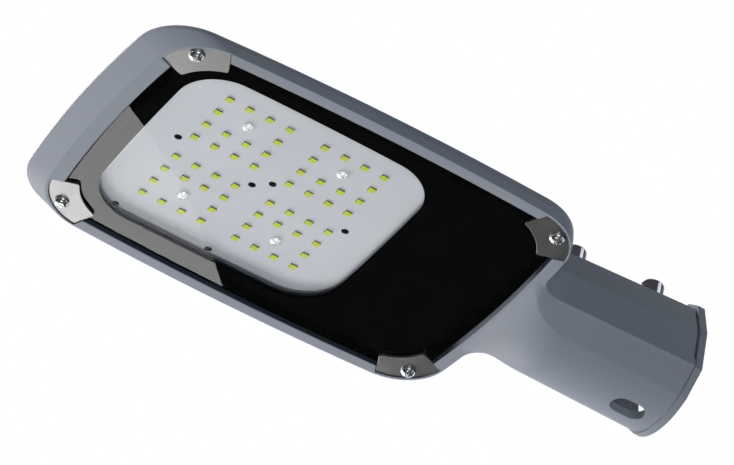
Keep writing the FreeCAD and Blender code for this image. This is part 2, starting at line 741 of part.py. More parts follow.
def housing_belly(body):
    """The round underside of the socket and its ramp up to the rim."""
    mouth = new_sketch(body, "YZ_Plane", D.collar_length)
    belly_section(mouth, D.mouth_rim_half, D.belly_edge_half,
                  D.rim_height - D.belly_edge_depth, D.rim_height - D.belly_depth)
    ramp = new_sketch(body, "YZ_Plane", D.ramp_start)
    belly_section(ramp, neck_half_width(D.ramp_start), D.ramp_edge_half,
                  D.rim_height - D.ramp_edge_depth, D.rim_height - D.ramp_depth)
    loft(body, [mouth, ramp])

    sketches = []
    for step in range(RAMP_STEPS + 1):
        share = step / RAMP_STEPS
        depth = max((1 - share ** 2) ** 1.4, RAMP_END_DEPTH)
        x = D.ramp_start + D.ramp_length * share
        half = neck_half_width(x)
        edge_half = D.ramp_edge_half + (half - D.ramp_edge_half) * (0.75 * (1 - depth))
        station = new_sketch(body, "YZ_Plane", x)
        belly_section(station, half, edge_half, D.rim_height - D.ramp_edge_depth * depth,
                      D.rim_height - D.ramp_depth * depth)
        sketches.append(station)
    loft(body, sketches, ruled=False)


def housing_socket(body):
    """Bolt bosses, pole bore, the slot under the mouth and the groove beside the collar."""
    for _, bolt_x, boss_top in POLE_BOLTS:
        boss = new_sketch(body, "XY_Plane", D.crown_height - 1)
        circle(boss, bolt_x, 0, D.bolt_boss)
        pad(body, boss, boss_top - D.crown_height + 1)

    bore = new_sketch(body, "YZ_Plane")
    circle(bore, 0, 0, SOCKET_BORE)
    pocket(body, bore, D.socket_depth)

    bolts = new_sketch(body, "XY_Plane")
    for _, bolt_x, _ in POLE_BOLTS:
        circle(bolts, bolt_x, 0, D.bolt_shank + 2 * D.fit_play)
    pocket(body, bolts, ABOVE_ALL)

    window = new_sketch(body, "XY_Plane")
    slot_outline(window, D.window_start, D.window_start + D.window_length, D.window_width / 2)
    pocket(body, window, D.belly_depth - D.rim_height + 1, along_normal=False)

    groove = new_sketch(body, "YZ_Plane", D.collar_length)
    reach = D.mouth_edge_half + 5
    inset = D.groove_depth
    floor = [(D.mouth_flank_half - inset, D.groove_bottom),
             (D.mouth_flank_half - inset, D.mouth_flank_height),
             (D.mouth_ridge_half - inset, D.mouth_ridge_height - inset / 3),
             (D.mouth_crown_half - inset / 3, D.mouth_crown_height - inset)]
    polygon(groove, [(reach, D.groove_bottom), (reach, ABOVE_ALL), (-reach, ABOVE_ALL),
                     (-reach, D.groove_bottom)] + [(-y, z) for y, z in floor] + floor[::-1])
    pocket(body, groove, D.groove_width)


def housing_bays(body):
    """Glass seat, board bay, driver bay and the room in the neck, all open to the glass."""
    seat = new_sketch(body, "XY_Plane", D.rim_height)
    opening_outline(seat, as_size(0))
    pocket(body, seat, SEAT_HEIGHT - D.rim_height)

    board = new_sketch(body, "XY_Plane", SEAT_HEIGHT)
    rounded_rectangle(board, D.board_centre, 0, D.board_half_length + D.board_play,
                      BOARD_HALF + D.board_play, D.board_corner_radius + D.board_play)
    pocket(body, board, BOARD_BACK - SEAT_HEIGHT)

    low = new_sketch(body, "XY_Plane", SEAT_HEIGHT)
    bay_half = OPENING_HALF - D.bay_margin
    rectangle(low, D.bay_rear, D.bay_front, -bay_half, bay_half)
    high = new_sketch(body, "XY_Plane", D.bay_height)
    rectangle(high, D.bay_top_rear, D.bay_front, -D.bay_top_half_width, D.bay_top_half_width)
    loft(body, [low, high], kind="Subtractive")

    room = new_sketch(body, "YZ_Plane", NECK_ROOM_START)
    rectangle(room, -D.neck_room_half_width, D.neck_room_half_width, SEAT_HEIGHT,
              D.neck_room_height)
    pocket(body, room, D.bay_top_rear - NECK_ROOM_START)

    duct = new_sketch(body, "XY_Plane", SEAT_HEIGHT)
    rectangle(duct, D.bay_front - 1, D.board_centre - D.board_half_length,
              -D.duct_width / 2, D.duct_width / 2)
    pocket(body, duct, D.duct_depth)

    gland = new_sketch(body, "YZ_Plane", D.socket_depth - 1)
    circle(gland, 0, D.gland_height, D.gland_thread + 2 * D.fit_play)
    pocket(body, gland, D.end_wall + 2)


def housing_fixings(body):
    """Clamp pockets in the rim, and the blind holes that the screws go into."""
    plates = new_sketch(body, "XY_Plane", D.rim_height)
    for sign_x, sign_y, _ in CORNERS:
        clamp_outline(plates, sign_x, sign_y, D.clamp_gap)
    pocket(body, plates, GLASS_FACE - D.rim_height)

    clamp_holes = new_sketch(body, "XY_Plane", GLASS_FACE)
    for sign_x, sign_y, _ in CORNERS:
        circle(clamp_holes, *clamp_screw_point(sign_x, sign_y),
               D.clamp_screw_shank + 2 * D.fit_play)
    pocket(body, clamp_holes, D.clamp_screw_length - D.clamp_thickness + 0.5)

    board_holes = new_sketch(body, "XY_Plane", BOARD_BACK)
    for sign_x, sign_y, _ in CORNERS:
        circle(board_holes, D.board_centre + D.board_screw_column * sign_x,
               D.board_screw_row * sign_y, D.board_screw_shank + 2 * D.fit_play)
    pocket(body, board_holes, D.board_screw_length - D.board_thickness + 0.5)

    driver_holes = new_sketch(body, "XY_Plane", D.bay_height)
    for x, y in driver_screw_points():
        circle(driver_holes, x, y, D.driver_screw_shank + 2 * D.fit_play)
    pocket(body, driver_holes, DRIVER_SCREW_GRIP + 0.5)


def housing_cooling_slots(body):
    """Slots along the roof leave upright fins between them, from the bay to the front."""
    sketch = new_sketch(body, "XZ_Plane", D.slot_pitch * (D.slot_count - 1) / 2 - D.slot_width / 2)
    polygon(sketch, [(D.slot_start, D.slot_floor_rear), (D.slot_end, D.slot_floor_front),
                     (D.slot_end, ABOVE_ALL), (D.slot_start, ABOVE_ALL)])
    cut = pocket(body, sketch, D.slot_width)
    doc.recompute()
    row = body.newObject("PartDesign::LinearPattern", "cooling_slots")
    row.Originals = [cut]
    axis = [item for item in body.Origin.OriginFeatures if item.Role == "Y_Axis"][0]
    row.Direction = (axis, [""])
    row.setExpression("Length", (D.slot_pitch * (D.slot_count - 1)).text)
    row.setExpression("Occurrences", D.slot_count.text)
    body.Tip = row


def make_housing():
    body = new_body("housing")
    housing_upper_form(body)
    housing_sleeve(body)
    housing_belly(body)
    housing_socket(body)
    housing_bays(body)
    housing_fixings(body)
    housing_cooling_slots(body)
    return body


# Socket collar


def make_collar():
    """The proud ring round the socket's mouth, with the socket's own outline grown a little."""
    body = new_body("socket_end_collar")
    sketch = new_sketch(body, "YZ_Plane")
    proud = D.collar_proud
    edge_half = D.belly_edge_half + proud
    edge_height = D.rim_height - D.belly_edge_depth - D.collar_belly_proud
    bottom = D.rim_height - D.belly_depth - D.collar_belly_proud
    sag = edge_height - bottom
    side = [
        (D.mouth_edge_half + proud, D.mouth_edge_height - D.collar_edge_proud),
        (D.mouth_flank_half + proud, D.mouth_flank_height + proud),
        (D.mouth_ridge_half + proud, D.mouth_ridge_height + D.collar_ridge_proud),
        (D.mouth_crown_half + proud, D.mouth_crown_height + D.collar_top_proud),
    ]
    mirrored = [(-y, z) for y, z in side[::-1]]
    round_edge = Edge((-edge_half, edge_height),
                      radius=(edge_half * edge_half + sag * sag) / (2 * sag))
    closed_loop(sketch, [round_edge, Edge((as_size(edge_half), edge_height))]
                + [Edge(corner) for corner in side + mirrored])
    pad(body, sketch, D.collar_length)
    bore = new_sketch(body, "YZ_Plane")
    circle(bore, 0, 0, SOCKET_BORE)
    pocket(body, bore, D.collar_length)
    return body


# Glass, gasket and clamps


def make_glass():
    body = new_body("glass_lens")
    sketch = new_sketch(body, "XY_Plane", GLASS_FACE)
    opening_outline(sketch, D.glass_gap)
    pad(body, sketch, D.glass_thickness)
    return body


def make_gasket():
    body = new_body("glass_gasket")
    outer = new_sketch(body, "XY_Plane", GLASS_BACK)
    opening_outline(outer, D.glass_gap)
    pad(body, outer, D.gasket_thickness)
    inner = new_sketch(body, "XY_Plane", GLASS_BACK)
    opening_outline(inner, D.glass_gap + D.gasket_width)
    pocket(body, inner, D.gasket_thickness)
    return body


def make_clamp(sign_x, sign_y, corner):
    body = new_body("glass_clamp_" + corner)
    sketch = new_sketch(body, "XY_Plane", CLAMP_FACE)
    clamp_outline(sketch, sign_x, sign_y, as_size(0))
    pad(body, sketch, D.clamp_thickness)
    hole = new_sketch(body, "XY_Plane", CLAMP_FACE)
    circle(hole, *clamp_screw_point(sign_x, sign_y), D.clamp_screw_shank + 2 * D.fit_play)
    pocket(body, hole, D.clamp_thickness)
    round_edges(body, D.clamp_corner_radius, upright)
    return body


def screw(name, x, y, head_at, head, rise, shank, length):
    """A pan-head screw driven upwards, with a domed head and a cross recess."""
    body = new_body(name)
    edge = rise * 0.35
    turned(body, [
        (0, -rise), (head * 0.2, -rise * 0.98), (head * 0.36, -rise * 0.8),
        (head * 0.46, -rise * 0.5), (head / 2, -edge), (head / 2, 0),
        (shank / 2, 0), (shank / 2, length - shank * 0.15), (shank * 0.35, length), (0, length),
    ])
    cross = new_sketch(body, "XY_Plane", -rise)
    long_half = head * 0.22
    thin_half = head * 0.055
    polygon(cross, [
        (long_half, -thin_half), (long_half, thin_half), (thin_half, thin_half),
        (thin_half, long_half), (-thin_half, long_half), (-thin_half, thin_half),
        (-long_half, thin_half), (-long_half, -thin_half), (-thin_half, -thin_half),
        (-thin_half, -long_half), (thin_half, -long_half), (thin_half, -thin_half),
    ])
    pocket(body, cross, rise * 0.6)
    place(body, x, y, head_at)
    return body


def place(body, x, y, z):
    for axis, size in zip("xyz", (x, y, z)):
        body.setExpression("Placement.Base." + axis, as_size(size).text)


# Board, its frame and LEDs


def make_board():
    body = new_body("led_board")
    sketch = new_sketch(body, "XY_Plane", BOARD_FACE)
    rounded_rectangle(sketch, D.board_centre, 0, D.board_half_length, BOARD_HALF,
                      D.board_corner_radius)
    pad(body, sketch, D.board_thickness)
    holes = new_sketch(body, "XY_Plane", BOARD_FACE)
    for sign_x, sign_y, _ in CORNERS:
        circle(holes, D.board_centre + D.board_screw_column * sign_x, D.board_screw_row * sign_y,
               D.board_screw_shank + 2 * D.fit_play)
    edge_row = BOARD_HALF - D.board_hole_edge
    for sign in (1, -1):
        spare = ((D.board_hole_far, -D.board_hole_near), (D.board_hole_near, D.board_hole_near),
                 (D.board_hole_far, edge_row), (-D.board_hole_near, edge_row))
        for along, across in spare:
            circle(holes, D.board_centre + along * sign, -across * sign, D.board_hole)
    pocket(body, holes, D.board_thickness)
    return body


def make_light_frame():
    """Black frame that holds the board's edge and keeps its light inside the window."""
    body = new_body("light_frame")
    thickness = D.board_drop - D.frame_play
    face = BOARD_FACE - thickness
    outer = new_sketch(body, "XY_Plane", face)
    rounded_rectangle(outer, D.board_centre, 0, FRAME_HALF_LENGTH, FRAME_HALF_WIDTH,
                      D.frame_corner_radius)
    pad(body, outer, thickness)
    window = new_sketch(body, "XY_Plane", face)
    rounded_rectangle(window, D.board_centre, 0, FRAME_HALF_LENGTH - D.frame_end_bar,
                      FRAME_HALF_WIDTH - D.frame_side_bar, D.frame_corner_radius - D.frame_end_bar)
    pocket(body, window, thickness)
    return body


def make_led_group(sign_x, sign_y, corner):
    """One quarter of the LEDs: four by four, less the two beside a board screw."""
    chips = []
    for column in range(4):
        for row in range(4):
            if row == 2 and column in (1, 2):
                continue
            middle_x = D.board_centre.number + sign_x * (
                D.led_first_column.number + column * D.led_column_pitch.number)
            middle_y = sign_y * (D.led_first_row.number + row * D.led_row_pitch.number)
            chips.append(Part.makeBox(
                D.led_length.number, D.led_width.number, D.led_height.number,
                FreeCAD.Vector(middle_x - D.led_length.number / 2,
                               middle_y - D.led_width.number / 2,
                               BOARD_FACE.number - D.led_height.number)))
    group = doc.addObject("Part::Feature", "led_group_" + corner)
    group.Label = "led_group_" + corner
    group.Shape = Part.makeCompound(chips)
    return group


# Pole bolts


def make_pole_bolt(name, where, boss_top):
    """A cap-head bolt screwed down through the boss until it nearly touches the pole."""
    body = new_body(name)
    head = D.bolt_head / 2
    soft = D.bolt_head * 0.08
    length = boss_top - D.pole_diameter / 2 - D.pole_clearance - 0.5
    turned(body, [
        (0, D.bolt_head_height), (head - soft, D.bolt_head_height),
        (head - soft * 0.3, D.bolt_head_height - soft * 0.3), (head, D.bolt_head_height - soft),
        (head, 0), (D.bolt_shank / 2, 0), (D.bolt_shank / 2, -length + 0.8),
        (D.bolt_shank / 2 - 0.8, -length), (0, -length),
    ])
    key = new_sketch(body, "XY_Plane", D.bolt_head_height)
    hexagon(key, as_size(0), as_size(0), D.bolt_socket)
    pocket(body, key, D.bolt_head_height / 2, along_normal=False)
    place(body, where, 0, boss_top)
    return body


# Driver, terminal block and cable gland

DRIVER_SCREW_GRIP = D.driver_ear_thickness * 2 + 2
DRIVER_CENTRE = (D.bay_top_rear + D.bay_front) / 2


def driver_screw_points():
    reach = D.driver_length / 2 + D.driver_ear / 2
    return [(DRIVER_CENTRE, D.driver_shift + reach), (DRIVER_CENTRE, D.driver_shift - reach)]


def make_driver():
    """Potted driver that hangs from the bay's ceiling by an ear at each end."""
    body = new_body("led_driver")
    case = new_sketch(body, "XY_Plane", D.bay_height - D.driver_depth)
    rounded_rectangle(case, DRIVER_CENTRE, D.driver_shift, D.driver_width / 2,
                      D.driver_length / 2, as_size(3))
    pad(body, case, D.driver_depth)
    ears = new_sketch(body, "XY_Plane", D.bay_height - D.driver_ear_thickness)
    reach = D.driver_length / 2 + D.driver_ear
    rectangle(ears, DRIVER_CENTRE - D.driver_ear, DRIVER_CENTRE + D.driver_ear,
              D.driver_shift - reach, D.driver_shift + reach)
    pad(body, ears, D.driver_ear_thickness)
    holes = new_sketch(body, "XY_Plane", D.bay_height - D.driver_ear_thickness)
    for x, y in driver_screw_points():
        circle(holes, x, y, D.driver_screw_shank + 2 * D.fit_play)
    pocket(body, holes, D.driver_ear_thickness)
    return body


def make_terminal_block():
    """Three-way terminal block on the bay's ceiling, with a wire hole and a screw well a way."""
    body = new_body("terminal_block")
    block = new_sketch(body, "XY_Plane", D.bay_height - D.terminal_depth)
    half = D.terminal_length / 2
    rectangle(block, DRIVER_CENTRE - half, DRIVER_CENTRE + half,
              D.terminal_shift - D.terminal_width / 2, D.terminal_shift + D.terminal_width / 2)
    pad(body, block, D.terminal_depth)
    wells = new_sketch(body, "XY_Plane", D.bay_height - D.terminal_depth)
    wires = new_sketch(body, "XZ_Plane", -(D.terminal_shift - D.terminal_width / 2))
    way = D.terminal_length / 3
    for step in (-1, 0, 1):
        circle(wells, DRIVER_CENTRE + way * step, D.terminal_shift, D.terminal_width * 0.35)
        circle(wires, DRIVER_CENTRE + way * step, D.bay_height - D.terminal_depth * 0.5,
               D.terminal_width * 0.3)
    pocket(body, wells, D.terminal_depth * 0.3)
    pocket(body, wires, D.terminal_width * 0.4, along_normal=False)
    return body


def make_gland_body():
    """Threaded end in the socket's end wall, and a hexagon in the neck room."""
    body = new_body("cable_gland_body")
    thread = new_sketch(body, "YZ_Plane", D.socket_depth)
    circle(thread, 0, D.gland_height, D.gland_thread)
    pad(body, thread, D.end_wall)
    flats = new_sketch(body, "YZ_Plane", NECK_ROOM_START)
    hexagon(flats, as_size(0), D.gland_height, D.gland_hex)
    pad(body, flats, D.gland_hex_length)
    bore = new_sketch(body, "YZ_Plane", D.socket_depth)
    circle(bore, 0, D.gland_height, D.gland_bore)
    pocket(body, bore, D.end_wall + D.gland_hex_length)
    return body


def make_gland_cap():
    """The cap that squeezes the gland's seal round a cable."""
    body = new_body("cable_gland_cap")
    start = NECK_ROOM_START + D.gland_hex_length
    outer = new_sketch(body, "YZ_Plane", start)
    hexagon(outer, as_size(0), D.gland_height, D.gland_hex)
    pad(body, outer, D.gland_cap_length / 2)
    nose_start = new_sketch(body, "YZ_Plane", start + D.gland_cap_length / 2)
    circle(nose_start, 0, D.gland_height, D.gland_hex * 0.92)
    nose_end = new_sketch(body, "YZ_Plane", start + D.gland_cap_length)
    circle(nose_end, 0, D.gland_height, D.gland_hex * 0.7)
    loft(body, [nose_start, nose_end])
    bore = new_sketch(body, "YZ_Plane", start)
    circle(bore, 0, D.gland_height, D.gland_bore)
    pocket(body, bore, D.gland_cap_length)
    return body


# The whole head


def make_all():
    pieces = [make_housing(), make_collar(), make_glass(), make_gasket(), make_board(),
              make_light_frame(), make_driver(), make_terminal_block(), make_gland_body(),
              make_gland_cap()]
    for sign_x, sign_y, corner in CORNERS:
        pieces.append(make_clamp(sign_x, sign_y, corner))
        pieces.append(screw("clamp_screw_" + corner, *clamp_screw_point(sign_x, sign_y),
                            CLAMP_FACE, D.clamp_screw_head, D.clamp_screw_rise,
                            D.clamp_screw_shank, D.clamp_screw_length))
        pieces.append(screw("board_screw_" + corner,
                            D.board_centre + D.board_screw_column * sign_x,
                            D.board_screw_row * sign_y, BOARD_FACE, D.board_screw_head,
                            D.board_screw_rise, D.board_screw_shank, D.board_screw_length))
        pieces.append(make_led_group(sign_x, sign_y, corner))
    for side, (x, y) in zip(("left", "right"), driver_screw_points()):
        pieces.append(screw("driver_screw_" + side, x, y, D.bay_height - D.driver_ear_thickness,
                            D.clamp_screw_head, D.clamp_screw_rise, D.driver_screw_shank,
                            DRIVER_SCREW_GRIP + D.driver_ear_thickness))
    for name, bolt_x, boss_top in POLE_BOLTS:
        pieces.append(make_pole_bolt(name, bolt_x, boss_top))
    return pieces


def check_features():
    """Stops if a feature failed, or if a cut took nothing away."""
    for item in doc.Objects:
        for state in item.State:
            if state in ("Invalid", "Error"):
                raise RuntimeError("%s is %s" % (item.Name, state))
        if item.TypeId in ("PartDesign::Pocket", "PartDesign::SubtractiveLoft"):
            if item.Shape.Volume >= item.BaseFeature.Shape.Volume - 1e-3:
                raise RuntimeError("%s cuts nothing" % item.Name)


def export(pieces):
    os.makedirs("parts", exist_ok=True)
    for piece in pieces:
        shape = piece.Shape
        if shape.isNull() or not shape.isValid():
            raise RuntimeError("%s has no valid shape" % piece.Label)
        shape.exportStep(os.path.join("parts", piece.Label + ".step"))
        print("%-28s %d solid(s) %10.1f mm3" % (piece.Label, len(shape.Solids), shape.Volume))


pieces = make_all()
doc.recompute()
check_features()
export(pieces)
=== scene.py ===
import math

import bmesh
import bpy
from mathutils import Matrix, Vector


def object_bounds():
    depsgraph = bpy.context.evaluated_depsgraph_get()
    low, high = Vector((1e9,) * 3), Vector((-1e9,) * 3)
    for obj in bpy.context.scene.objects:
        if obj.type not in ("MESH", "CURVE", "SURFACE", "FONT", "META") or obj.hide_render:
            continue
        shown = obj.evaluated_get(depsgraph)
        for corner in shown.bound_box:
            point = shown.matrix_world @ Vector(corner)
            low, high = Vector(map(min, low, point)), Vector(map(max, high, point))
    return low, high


# Looks of the road lantern head. Metres, in the part's own frame: +Z up, glass towards -Z,
# the head reaches out along +X and the camera looks up at the glass.

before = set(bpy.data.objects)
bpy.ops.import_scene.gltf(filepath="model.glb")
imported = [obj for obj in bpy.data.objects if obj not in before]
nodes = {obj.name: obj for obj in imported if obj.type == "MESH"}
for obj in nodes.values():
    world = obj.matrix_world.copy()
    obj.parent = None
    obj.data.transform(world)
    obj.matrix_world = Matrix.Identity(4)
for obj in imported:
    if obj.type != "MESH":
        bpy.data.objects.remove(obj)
cad_low, cad_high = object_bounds()


def span(name):
    """The lowest and the highest corner of a CAD piece."""
    node = nodes[name]
    corners = [node.matrix_world @ Vector(corner) for corner in node.bound_box]
    return Vector(map(min, zip(*corners))), Vector(map(max, zip(*corners)))


GLASS_LOW, GLASS_HIGH = span("glass_lens")
GLASS_MIDDLE = (GLASS_LOW + GLASS_HIGH) / 2
BOARD_LOW, BOARD_HIGH = span("led_board")
BOARD_CENTRE = (BOARD_LOW.x + BOARD_HIGH.x) / 2
RIM_HEIGHT = -0.018

# How far the painted shade of the bays reaches past the glass, at its sides and its front end
SIDE_REACH = 0.0026
END_REACH = 0.0017

# Window in the black print on the back of the glass
WINDOW_HALF_LENGTH = 0.0698
WINDOW_HALF_WIDTH = 0.0672
WINDOW_RADIUS = 0.024
WINDOW_BOW = 0.0015
PRINT_EDGE = 0.0001

# Colours, as linear red, green and blue. A pair is the range that a fine pattern mixes.
PAINT = ((0.272, 0.298, 0.352), (0.288, 0.314, 0.368))
PAINT_SPECK = (0.37, 0.40, 0.46)
# Painted shade on the inner walls of the opening round the glass
PAINTED_SHADE_ON_WALLS = (0.050, 0.056, 0.074)
# Painted shade in the bays behind the glass
PAINTED_SHADE_IN_BAYS = (0.012, 0.013, 0.015)
PRINT_BLACK = (0.0015, 0.0015, 0.0016)
ROLLED_SHEET = ((0.245, 0.245, 0.243), (0.275, 0.275, 0.273))
BRIGHT_SCREW = (0.80, 0.80, 0.81)
DARK_BOLT = (0.045, 0.045, 0.050)
BOARD_WHITE = ((0.605, 0.610, 0.665), (0.630, 0.636, 0.690))
# Painted shade on the side faces of the board and its holes
BOARD_SIDE_SHADE = (0.05, 0.055, 0.07)
PHOSPHOR = ((0.56, 0.64, 0.026), (0.61, 0.69, 0.036))
# Painted shade on the side faces of the LEDs
LED_SIDE_SHADE = (0.14, 0.13, 0.035)
FRAME_BLACK = ((0.020, 0.020, 0.022), (0.026, 0.026, 0.028))
SILICONE = ((0.006, 0.006, 0.007), (0.010, 0.010, 0.011))
NYLON = ((0.012, 0.012, 0.013), (0.018, 0.018, 0.020))
TERMINAL = ((0.56, 0.55, 0.51), (0.60, 0.59, 0.55))
DRIVER_CASE = ((0.30, 0.31, 0.33), (0.34, 0.35, 0.37))
FLOOR = ((0.62, 0.62, 0.63), (0.66, 0.66, 0.67))

# Camera at the photograph's angle: its place and the directions of its own axes
CAMERA_PLACE = (0.8315, 1.6023, -1.3316)
CAMERA_RIGHT = (-0.8539, 0.4899, 0.1756)
CAMERA_UP = (0.4272, 0.4673, 0.7740)
CAMERA_BACK = (0.2971, 0.7360, -0.6083)
CAMERA_LENS = 209.44

# The large oval softbox. Its rim shows in the glass as the border of a pale wedge.
KEY_EDGE_POINT = (0.0297, -0.756, -0.600)
KEY_ALONG = (0.737, 0.676, 0.0)
KEY_AWAY = (0.573, -0.624, 0.532)
KEY_LENGTH = 1.134
KEY_WIDTH = 0.84
KEY_REACH = 0.4157
KEY_WATTS = 9.4

# The other lamps, all aimed at one point of the head: name, place, width, height, watts,
# colour and spread in degrees
LAMP_TARGET = (0.17, 0.0, 0.0)
LAMPS = (
    ("below", (0.35, 0.25, -1.4), 0.6, 0.6, 8.3, (1.0, 0.98, 0.94), 180.0),
    ("low_left", (0.6, -1.5, -0.45), 0.6, 0.6, 6.5, (1.0, 0.94, 0.90), 180.0),
    ("low_right", (0.4, 1.3, -0.9), 0.7, 0.7, 3.4, (0.76, 0.89, 1.0), 180.0),
    ("low_rear", (-1.1, 0.7, -0.8), 0.7, 0.7, 0.9, (0.45, 0.75, 1.0), 180.0),
    ("strip", (-0.62, 0.685, 0.775), 0.6, 0.08, 2.2, (0.9, 0.95, 1.0), 180.0),
    ("front", (1.5, 0.0, 0.25), 0.7, 0.7, 1.4, (1.0, 1.0, 1.0), 60.0),
    ("top", (0.15, -1.1, 1.2), 0.9, 0.9, 1.8, (1.0, 1.0, 1.0), 60.0),
)

# Faint light from all round, and the floor. The paleness is the share of white that the
# camera sees in place of the floor's own light.
SOFT_LIGHT = 0.03
SOFT_COLOUR = (0.93, 0.96, 1.0)
FLOOR_HEIGHT = -1.7
FLOOR_RADIUS = 6.0
FLOOR_PALENESS = 0.85


# Node helpers


class Tree:
    """A short way to build one material's nodes."""

    def __init__(self, name):
        self.material = bpy.data.materials.new(name)
        self.material.use_nodes = True
        self.nodes = self.material.node_tree.nodes
        self.links = self.material.node_tree.links
        self.nodes.clear()
        self.output = self.nodes.new("ShaderNodeOutputMaterial")
        self.place = self.nodes.new("ShaderNodeTexCoord").outputs["Object"]
        self.parts = None

    def set(self, socket, value):
        if isinstance(value, bpy.types.NodeSocket):
            self.links.new(value, socket)
        elif isinstance(value, (tuple, list)) and len(value) == 3 and socket.type == "RGBA":
            socket.default_value = (*value, 1.0)
        else:
            socket.default_value = value

    def math(self, operation, a, b=0.0):
        node = self.nodes.new("ShaderNodeMath")
        node.operation = operation
        self.set(node.inputs[0], a)
        self.set(node.inputs[1], b)
        return node.outputs[0]

    def axis(self, index):
        if self.parts is None:
            self.parts = self.nodes.new("ShaderNodeSeparateXYZ")
            self.links.new(self.place, self.parts.inputs[0])
        return self.parts.outputs[index]

    def normal(self, index):
        geometry = self.nodes.new("ShaderNodeNewGeometry")
        split = self.nodes.new("ShaderNodeSeparateXYZ")
        self.links.new(geometry.outputs["Normal"], split.inputs[0])
        return split.outputs[index]

    def ramp(self, value, low, high, start=0.0, end=1.0):
        """Goes smoothly from start to end while value goes from low to high."""
        node = self.nodes.new("ShaderNodeMapRange")
        node.interpolation_type = "SMOOTHSTEP"
        self.set(node.inputs["Value"], value)
        self.set(node.inputs["From Min"], low)
        self.set(node.inputs["From Max"], high)
        self.set(node.inputs["To Min"], start)
        self.set(node.inputs["To Max"], end)
        return node.outputs["Result"]

    def all_of(self, first, *others):
        """The product of some masks."""
        for other in others:
            first = self.math("MULTIPLY", first, other)
        return first

    def noise(self, scale, detail=2.0, roughness=0.5, stretch=None):
        node = self.nodes.new("ShaderNodeTexNoise")
        node.inputs["Scale"].default_value = scale
        node.inputs["Detail"].default_value = detail
        node.inputs["Roughness"].default_value = roughness
        source = self.place
        if stretch is not None:
            mapping = self.nodes.new("ShaderNodeMapping")
            mapping.inputs["Scale"].default_value = stretch
            self.links.new(source, mapping.inputs["Vector"])
            source = mapping.outputs["Vector"]
        self.links.new(source, node.inputs["Vector"])
        return node.outputs["Fac"]

    def mix(self, share, first, second):
        node = self.nodes.new("ShaderNodeMix")
        node.data_type = "RGBA"
        self.set(node.inputs["Factor"], share)
        self.set(node.inputs["A"], first)
        self.set(node.inputs["B"], second)
        for socket in node.inputs:
            if socket.type == "RGBA" and socket.name in ("A", "B"):
                self.set(socket, first if socket.name == "A" else second)
        return [socket for socket in node.outputs if socket.type == "RGBA"][0]

    def bump(self, height, strength, distance, normal=None):
        node = self.nodes.new("ShaderNodeBump")
        node.inputs["Strength"].default_value = strength
        node.inputs["Distance"].default_value = distance
        self.links.new(height, node.inputs["Height"])
        if normal is not None:
            self.links.new(normal, node.inputs["Normal"])
        return node.outputs["Normal"]

    def soft_edges(self, radius):
        node = self.nodes.new("ShaderNodeBevel")
        node.samples = 6
        node.inputs["Radius"].default_value = radius
        return node.outputs["Normal"]

    def surface(self, **values):
        shader = self.nodes.new("ShaderNodeBsdfPrincipled")
        for name, value in values.items():
            self.set(shader.inputs[name.replace("_", " ")], value)
        return shader.outputs[0]

    def blend(self, share, first, second):
        node = self.nodes.new("ShaderNodeMixShader")
        self.set(node.inputs[0], share)
        self.links.new(first, node.inputs[1])
        self.links.new(second, node.inputs[2])
        return node.outputs[0]

    def done(self, shader):
        self.links.new(shader, self.output.inputs["Surface"])
        return self.material


def window_distance(tree):
    """Distance outside the window's bowed, round-cornered outline, in metres."""
    across_x = tree.math("ABSOLUTE", tree.math("SUBTRACT", tree.axis(0), BOARD_CENTRE))
    across_y = tree.math("ABSOLUTE", tree.axis(1))

    def side(along, across, half, other_half):
        share = tree.math("DIVIDE", across, other_half)
        bow = tree.math("MULTIPLY", tree.math("MULTIPLY", share, share), WINDOW_BOW)
        edge = tree.math("SUBTRACT", half - WINDOW_RADIUS, bow)
        return tree.math("SUBTRACT", along, edge)

    over_x = side(across_x, across_y, WINDOW_HALF_LENGTH, WINDOW_HALF_WIDTH)
    over_y = side(across_y, across_x, WINDOW_HALF_WIDTH, WINDOW_HALF_LENGTH)
    out_x = tree.math("MAXIMUM", over_x, 0.0)
    out_y = tree.math("MAXIMUM", over_y, 0.0)
    square = tree.math("ADD", tree.math("MULTIPLY", out_x, out_x), tree.math("MULTIPLY", out_y, out_y))
    outside = tree.math("SQRT", square)
    inside = tree.math("MINIMUM", tree.math("MAXIMUM", over_x, over_y), 0.0)
    return tree.math("SUBTRACT", tree.math("ADD", outside, inside), WINDOW_RADIUS)


# Materials


